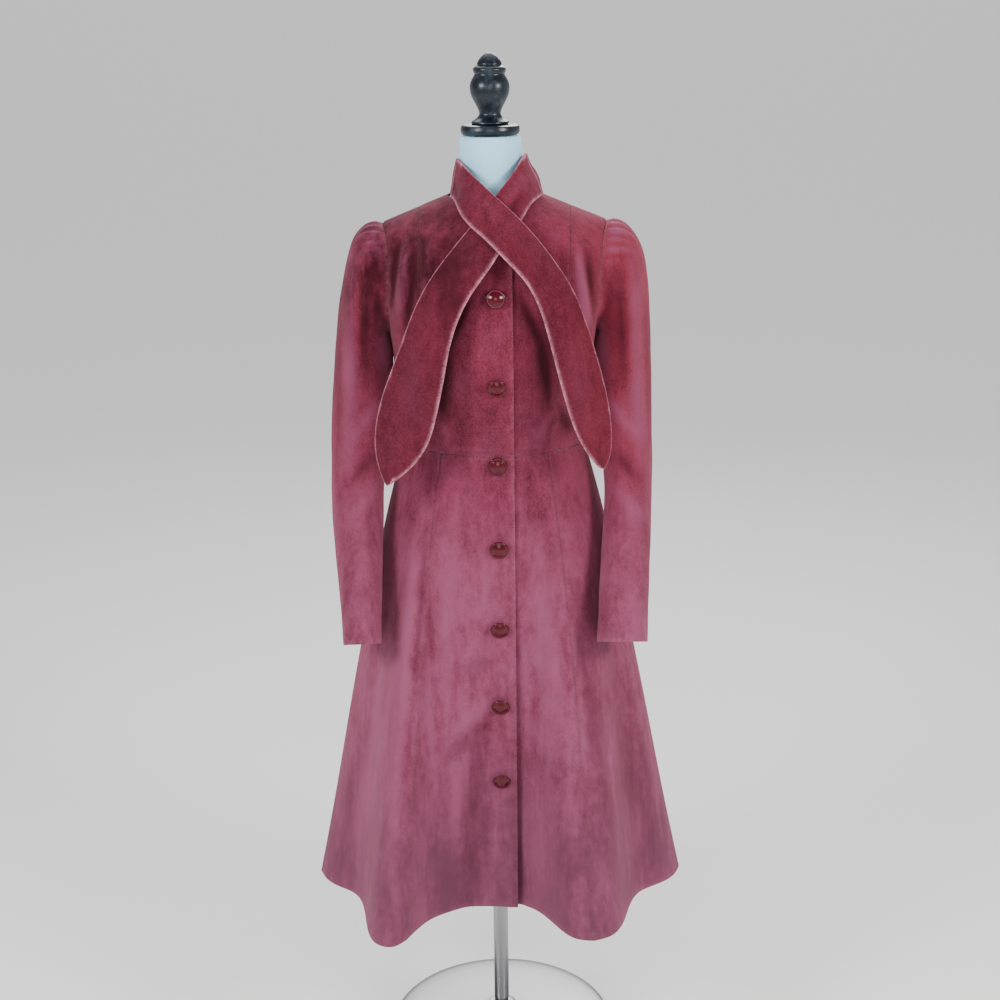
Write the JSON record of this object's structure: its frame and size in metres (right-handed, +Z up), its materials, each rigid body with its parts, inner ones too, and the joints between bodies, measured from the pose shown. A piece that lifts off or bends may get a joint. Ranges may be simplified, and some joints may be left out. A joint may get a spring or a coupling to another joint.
{
  "type": "coat on a dress form",
  "caption": "Long-sleeved flared velvet coat, buttoned down the front, with a crossed scarf collar, on a limbless dress form with a turned neck cap, a pole and a round base.",
  "frame": {"origin": "middle of the stand's round underside, on the floor", "axes": "+Z up along the pole, -Y the way the coat faces, +X towards the wearer's left"},
  "size_m": [0.597, 0.4811, 1.6126],
  "materials": {
    "velvet": "cotton velvet, short nap",
    "velvet_collar": "cotton velvet, short nap, folded double",
    "button_resin": "polished",
    "jersey": "smooth stretched jersey",
    "black_lacquer": "satin black lacquer",
    "satin_steel": "satin"
  },
  "bodies": {
    "root": {"bodice_back_left": "velvet", "bodice_back_right": "velvet", "bodice_front_left": "velvet", "bodice_front_right": "velvet", "bodice_side_back_left": "velvet", "bodice_side_back_right": "velvet", "bodice_side_front_left": "velvet", "bodice_side_front_right": "velvet", "button_1": "button_resin", "button_2": "button_resin", "button_3": "button_resin", "button_4": "button_resin", "button_5": "button_resin", "button_6": "button_resin", "button_7": "button_resin", "collar_stand": "velvet_collar", "form_base": "satin_steel", "form_finial": "black_lacquer", "form_neck_cap": "black_lacquer", "form_pole": "satin_steel", "form_torso": "jersey", "skirt_back_left": "velvet", "skirt_back_right": "velvet", "skirt_front_left": "velvet", "skirt_front_right": "velvet", "skirt_side_back_left": "velvet", "skirt_side_back_right": "velvet", "skirt_side_front_left": "velvet", "skirt_side_front_right": "velvet", "sleeve_left": "velvet", "sleeve_right": "velvet", "tie_left": "velvet_collar", "tie_right": "velvet_collar"}
  },
  "joints": []
}
